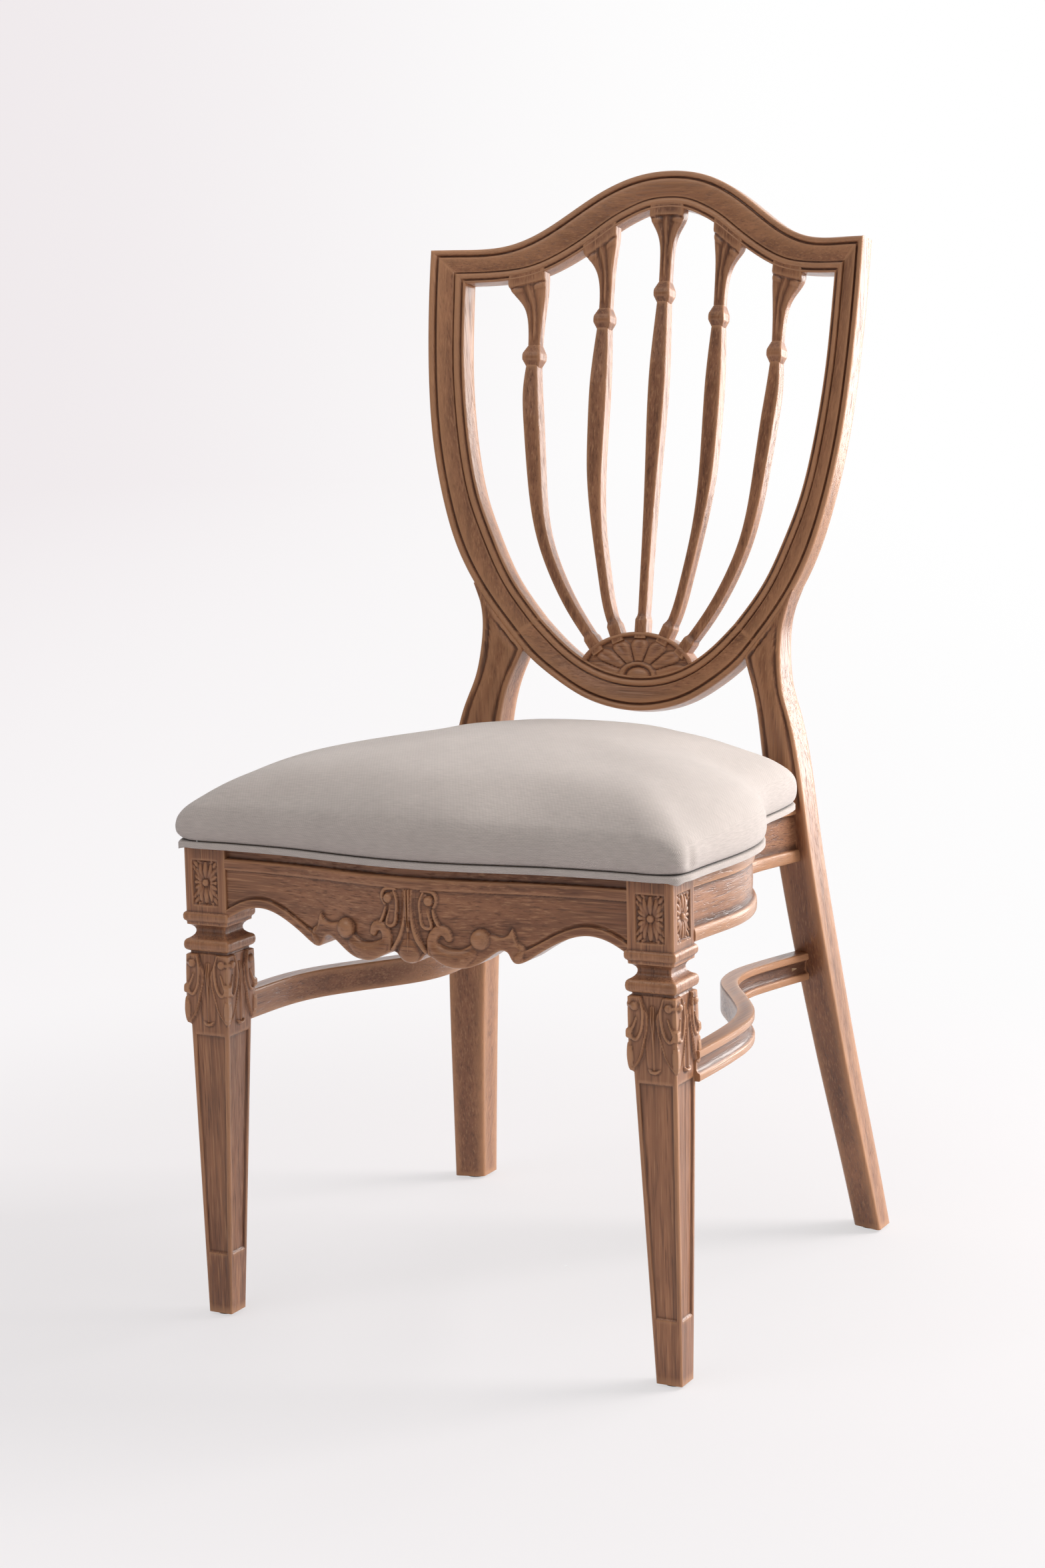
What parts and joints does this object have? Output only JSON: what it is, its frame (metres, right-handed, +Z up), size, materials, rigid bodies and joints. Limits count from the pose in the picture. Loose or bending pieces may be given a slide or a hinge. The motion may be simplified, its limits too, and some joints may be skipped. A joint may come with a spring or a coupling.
{
  "type": "dining chair",
  "caption": "Shield-back dining chair: dished moulded back with slender spindles and a fan, serpentine carved apron, wandering side rails and stretchers, tapered square legs, padded seat.",
  "frame": {"origin": "bottom centre of the chair's box, on the floor", "axes": "+Z up, -Y towards the sitter's front (the carved apron), +X to the right seen from the front"},
  "size_m": [0.4825, 0.546, 0.971],
  "materials": {
    "glazed_wood": "brushed open grain, brown with dark glaze in the recesses, satin",
    "dowel_wood": "plain planed hardwood",
    "block_wood": "plain sawn hardwood",
    "plywood": "raw plywood",
    "seat_linen": "linen look twill, warm light grey",
    "dust_cloth": "thin black non-woven",
    "screw_steel": "zinc plated",
    "glide_nylon": "dark nylon"
  },
  "bodies": {
    "root": {"back_spindle_1": "glazed_wood", "back_spindle_2": "glazed_wood", "back_spindle_3": "glazed_wood", "back_spindle_4": "glazed_wood", "back_spindle_5": "glazed_wood", "corner_screws": "screw_steel", "crest_dowels": "dowel_wood", "crest_rail": "glazed_wood", "fan_patera": "glazed_wood", "foot_glides": "glide_nylon", "front_apron": "glazed_wood", "front_corner_block_left": "block_wood", "front_corner_block_right": "block_wood", "front_leg_left": "glazed_wood", "front_leg_right": "glazed_wood", "front_rail_dowels": "dowel_wood", "oval_dowels": "dowel_wood", "post_dowels": "dowel_wood", "rear_apron": "glazed_wood", "rear_corner_block_left": "block_wood", "rear_corner_block_right": "block_wood", "rear_leg_left": "glazed_wood", "rear_leg_right": "glazed_wood", "rear_rail_dowels": "dowel_wood", "seat_board": "plywood", "seat_border": "seat_linen", "seat_cushion": "seat_linen", "seat_dust_cover": "dust_cloth", "seat_screws": "screw_steel", "seat_welt": "seat_linen", "shield_bottom_rail": "glazed_wood", "shield_stile_left": "glazed_wood", "shield_stile_right": "glazed_wood", "side_apron_left": "glazed_wood", "side_apron_right": "glazed_wood", "side_rail_dowels": "dowel_wood", "side_stretcher_left": "glazed_wood", "side_stretcher_right": "glazed_wood", "stretcher_dowels": "dowel_wood"}
  },
  "joints": []
}
